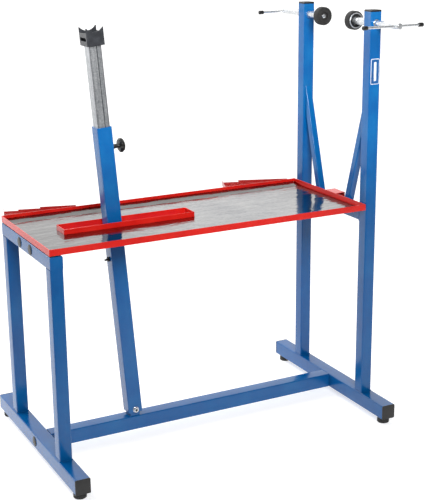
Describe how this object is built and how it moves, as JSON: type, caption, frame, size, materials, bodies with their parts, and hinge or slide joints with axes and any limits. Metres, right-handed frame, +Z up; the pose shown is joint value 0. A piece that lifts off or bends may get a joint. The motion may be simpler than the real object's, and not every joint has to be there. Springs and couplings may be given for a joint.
{
  "type": "bicycle work stand",
  "caption": "Blue square-tube bicycle work stand: red-rimmed drip tray on a bench frame, tilting telescopic saddle column through a slot, and opposed screw clamps on tall uprights.",
  "frame": {"origin": "on the floor, at mid length between the two end frames and mid depth of the bench", "axes": "+Z up, +X along the bench towards the tall uprights, -Y the working side"},
  "size_m": [1.5352, 0.9528, 1.691],
  "materials": {
    "blue_powder_coat": "glossy blue powder coat",
    "red_powder_coat": "glossy red powder coat",
    "galvanised_sheet": "galvanised sheet, satin",
    "galvanised_tube": "galvanised tube, mottled",
    "zinc_plated_steel": "bright zinc plating",
    "blackened_steel": "black oxide, oiled",
    "turned_aluminium": "turned",
    "dark_painted_steel": "dark grey paint",
    "black_plastic": "moulded",
    "black_rubber": "moulded"
  },
  "bodies": {
    "stand": {"left_foot_beam": "blue_powder_coat", "right_foot_beam": "blue_powder_coat", "foot_beam_caps": "black_plastic", "rubber_feet": "black_rubber", "foot_bolts": "zinc_plated_steel", "left_leg_front": "blue_powder_coat", "left_leg_rear": "blue_powder_coat", "left_top_rail": "blue_powder_coat", "right_upright_front": "blue_powder_coat", "right_upright_rear": "blue_powder_coat", "upright_caps": "black_plastic", "brace_front": "blue_powder_coat", "brace_rear": "blue_powder_coat", "right_top_rail": "blue_powder_coat", "stretcher": "blue_powder_coat", "table_rail_front": "blue_powder_coat", "table_rail_rear": "blue_powder_coat", "end_plates": "zinc_plated_steel", "rail_bolts": "zinc_plated_steel", "stretcher_bolts": "zinc_plated_steel", "access_plugs": "black_plastic", "tray_frame": "red_powder_coat", "tray_sheet": "galvanised_sheet", "slot_collar": "red_powder_coat", "tray_pads": "black_rubber", "tray_hook": "red_powder_coat", "swivel_bolts": "zinc_plated_steel", "swivel_spacers": "zinc_plated_steel", "pivot_bracket": "blue_powder_coat", "clamp_bushes": "blue_powder_coat", "clamp_sleeves": "zinc_plated_steel"},
    "column": {"column_outer": "blue_powder_coat", "pivot_bolt": "zinc_plated_steel", "pivot_washers": "zinc_plated_steel", "pivot_nut": "zinc_plated_steel", "knob_boss": "blue_powder_coat", "stop_screw": "blackened_steel"},
    "mast": {"column_inner": "galvanised_tube", "saddle_plug": "zinc_plated_steel", "saddle_screw": "zinc_plated_steel", "saddle": "dark_painted_steel"},
    "lock_knob": {"lock_knob": "black_plastic", "lock_screw": "zinc_plated_steel"},
    "clamp_front_carrier": {"clamp_axle_front": "zinc_plated_steel", "pad_screw_front": "zinc_plated_steel"},
    "clamp_front_spindle": {"clamp_spindle_front": "zinc_plated_steel", "tommy_bar_front": "zinc_plated_steel", "bar_caps_front": "black_plastic"},
    "clamp_front_roller": {"roller_tyre_front": "black_rubber", "roller_cup_front": "turned_aluminium"},
    "clamp_rear_carrier": {"clamp_axle_rear": "zinc_plated_steel", "pad_screw_rear": "zinc_plated_steel"},
    "clamp_rear_spindle": {"clamp_spindle_rear": "zinc_plated_steel", "tommy_bar_rear": "zinc_plated_steel", "bar_caps_rear": "black_plastic"},
    "clamp_rear_roller": {"roller_tyre_rear": "black_rubber", "roller_cup_rear": "turned_aluminium"},
    "swivel_tray_left": {"swivel_tray_left": "red_powder_coat"},
    "swivel_tray_right": {"swivel_tray_right": "red_powder_coat"}
  },
  "joints": [
    {"name": "column_tilt", "type": "hinge", "parent": "stand", "child": "column", "pos_m": [-0.286, 0, 0.115], "axis": [0, 1, 0], "range_deg": [-12, 20.8]},
    {"name": "mast_slide", "type": "slide", "parent": "column", "child": "mast", "axis": [-0.0772, 0, 0.997], "range_m": [-0.125, 0.25]},
    {"name": "knob_turn", "type": "hinge", "parent": "column", "child": "lock_knob", "pos_m": [-0.37027, 0, 1.20274], "axis": [0.997, 0, 0.0772], "range_deg": [-90, 360]},
    {"name": "clamp_front_advance", "type": "slide", "parent": "stand", "child": "clamp_front_carrier", "axis": [0, 1, 0], "range_m": [0, 0.095]},
    {"name": "clamp_front_turn", "type": "hinge", "parent": "clamp_front_carrier", "child": "clamp_front_spindle", "pos_m": [0.681, -0.35, 1.64], "axis": [0, 1, 0], "range_deg": [0, 6840]},
    {"name": "roller_front_spin", "type": "hinge", "parent": "clamp_front_carrier", "child": "clamp_front_roller", "pos_m": [0.681, -0.117, 1.64], "axis": [0, 1, 0], "continuous": true},
    {"name": "clamp_rear_advance", "type": "slide", "parent": "stand", "child": "clamp_rear_carrier", "axis": [0, -1, 0], "range_m": [0, 0.095]},
    {"name": "clamp_rear_turn", "type": "hinge", "parent": "clamp_rear_carrier", "child": "clamp_rear_spindle", "pos_m": [0.681, 0.35, 1.64], "axis": [0, -1, 0], "range_deg": [0, 6840]},
    {"name": "roller_rear_spin", "type": "hinge", "parent": "clamp_rear_carrier", "child": "clamp_rear_roller", "pos_m": [0.681, 0.117, 1.64], "axis": [0, -1, 0], "continuous": true},
    {"name": "swivel_left", "type": "hinge", "parent": "stand", "child": "swivel_tray_left", "pos_m": [-0.413, 0.262, 0.878], "axis": [0, 0, 1], "range_deg": [-60, 5]},
    {"name": "swivel_right", "type": "hinge", "parent": "stand", "child": "swivel_tray_right", "pos_m": [0.6, 0.258, 0.878], "axis": [0, 0, 1], "range_deg": [-20, 50]}
  ],
  "couplings": [
    {"joint": "clamp_front_advance", "follows": "clamp_front_turn", "m_per_rad": 0.00079577},
    {"joint": "clamp_rear_advance", "follows": "clamp_rear_turn", "m_per_rad": 0.00079577}
  ]
}
